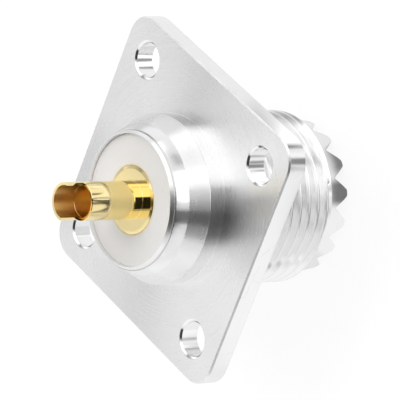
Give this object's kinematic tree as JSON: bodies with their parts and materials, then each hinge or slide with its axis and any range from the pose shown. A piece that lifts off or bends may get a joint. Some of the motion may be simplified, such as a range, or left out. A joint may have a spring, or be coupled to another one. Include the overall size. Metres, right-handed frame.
{
  "type": "uhf panel socket",
  "caption": "Square-flange coaxial panel socket with a threaded, tooth-rimmed barrel, a white insulator and a gold contact that ends in an open solder cup.",
  "frame": {"origin": "centre of the flange's rear face, midway between the four mounting holes", "axes": "+Z along the connector axis from the mouth towards the solder cup, X and Y along the flange's edges"},
  "size_m": [0.0254, 0.0254, 0.0271],
  "materials": {
    "silver_plate": "silver plated brass, satin turned with polished rims",
    "white_insulator": "matt white fluoropolymer",
    "gold_plate": "gold plated brass, satin neck with polished cup and collar"
  },
  "bodies": {
    "root": {"shell": "silver_plate", "insulator": "white_insulator", "centre_contact": "gold_plate"}
  },
  "joints": []
}
